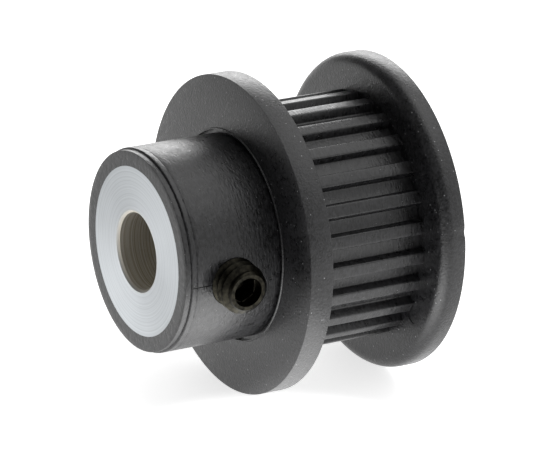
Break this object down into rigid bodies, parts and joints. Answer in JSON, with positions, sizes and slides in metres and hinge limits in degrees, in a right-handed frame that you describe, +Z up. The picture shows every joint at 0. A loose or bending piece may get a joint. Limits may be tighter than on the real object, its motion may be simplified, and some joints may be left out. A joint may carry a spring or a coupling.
{
  "type": "timing belt pulley",
  "caption": "Moulded timing belt pulley with flange discs, a metal bore insert and a set screw in its hub.",
  "frame": {"origin": "on the bore axis, midway between the two flanges", "axes": "+Y along the bore axis from the hub towards the end flange; +X along the set screw, outwards; +Z up"},
  "size_m": [0.025, 0.0217, 0.025],
  "materials": {
    "insert_metal": "turned",
    "body_plastic": "satin moulded, glass filled",
    "flange_plastic": "satin moulded, glass filled",
    "screw_steel": "black oxide"
  },
  "bodies": {
    "pulley": {"insert_bush": "insert_metal", "toothed_body": "body_plastic", "hub_flange": "flange_plastic", "end_flange": "flange_plastic"},
    "screw": {"set_screw": "screw_steel"}
  },
  "joints": [
    {"name": "set_screw_travel", "type": "slide", "parent": "pulley", "child": "screw", "axis": [1, 0, 0], "range_m": [-0.00095, 0.0038]}
  ]
}
